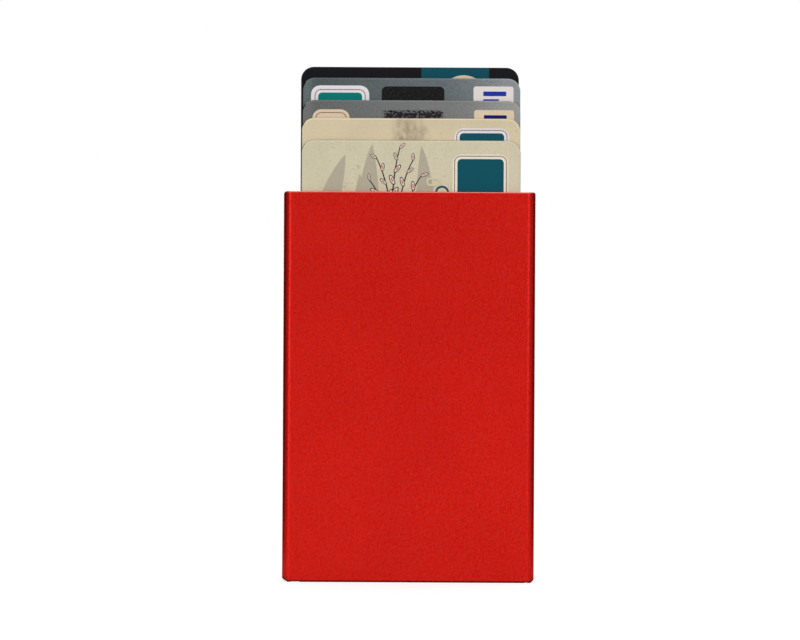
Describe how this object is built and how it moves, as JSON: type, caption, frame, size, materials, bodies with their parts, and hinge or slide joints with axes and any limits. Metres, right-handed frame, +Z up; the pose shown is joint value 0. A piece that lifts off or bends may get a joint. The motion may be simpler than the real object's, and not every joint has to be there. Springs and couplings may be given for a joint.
{
  "type": "pop up card holder",
  "caption": "Slim rigid sleeve that holds bank cards in lanes; a corner thumb lever raises them through the open top as a stepped fan, and each card slides out and back by hand",
  "frame": {"origin": "bottom centre of the holder standing upright", "axes": "+Z up, the way the cards rise; +X to the right seen from the front; -Y out of the plain front face, +Y out of the back with the thumb slot"},
  "size_m": [0.062, 0.0086, 0.1271],
  "materials": {
    "anodised_sleeve": "red anodised over a bead-blasted surface, satin",
    "cap_plastic": "black moulded nylon, fine spark texture",
    "lever_plastic": "black moulded acetal",
    "pad_rubber": "black ribbed rubber",
    "pin_steel": "ground steel",
    "spring_steel": "drawn spring wire",
    "rail_plastic": "black moulded nylon",
    "felt": "black wool felt",
    "beige_card": "laminated, satin, printed",
    "grey_card": "laminated, fine metallic grain, printed",
    "blue_grey_card": "laminated, fine metallic grain, printed",
    "black_card": "laminated, satin, printed",
    "chip_contact": "gold plated contacts"
  },
  "bodies": {
    "holder": {"sleeve": "anodised_sleeve", "end_cap": "cap_plastic", "pivot_pin": "pin_steel", "return_spring": "spring_steel", "left_rail": "rail_plastic", "right_rail": "rail_plastic", "left_felt_strip": "felt", "right_felt_strip": "felt"},
    "lever": {"ejector_lever": "lever_plastic", "thumb_pad": "pad_rubber"},
    "card_1": {"card_1": "beige_card", "card_1_chip": "chip_contact"},
    "card_2": {"card_2": "beige_card", "card_2_chip": "chip_contact"},
    "card_3": {"card_3": "grey_card", "card_3_chip": "chip_contact"},
    "card_4": {"card_4": "blue_grey_card", "card_4_chip": "chip_contact"},
    "card_5": {"card_5": "black_card", "card_5_chip": "chip_contact"}
  },
  "joints": [
    {"name": "lever_pivot", "type": "hinge", "parent": "holder", "child": "lever", "pos_m": [-0.02855, 0, 0.012], "axis": [0, -1, 0], "range_deg": [0, 50], "stiffness_Nm_per_rad": 0.012, "springref_deg": -28.65, "deforming": ["return_spring"]},
    {"name": "card_1_slide", "type": "slide", "parent": "holder", "child": "card_1", "axis": [0, 0, 1], "range_m": [-0.0133, 0.0669]},
    {"name": "card_2_slide", "type": "slide", "parent": "holder", "child": "card_2", "axis": [0, 0, 1], "range_m": [-0.0188, 0.0614]},
    {"name": "card_3_slide", "type": "slide", "parent": "holder", "child": "card_3", "axis": [0, 0, 1], "range_m": [-0.0233, 0.0569]},
    {"name": "card_4_slide", "type": "slide", "parent": "holder", "child": "card_4", "axis": [0, 0, 1], "range_m": [-0.0289, 0.0513]},
    {"name": "card_5_slide", "type": "slide", "parent": "holder", "child": "card_5", "axis": [0, 0, 1], "range_m": [-0.0317, 0.0485]}
  ]
}
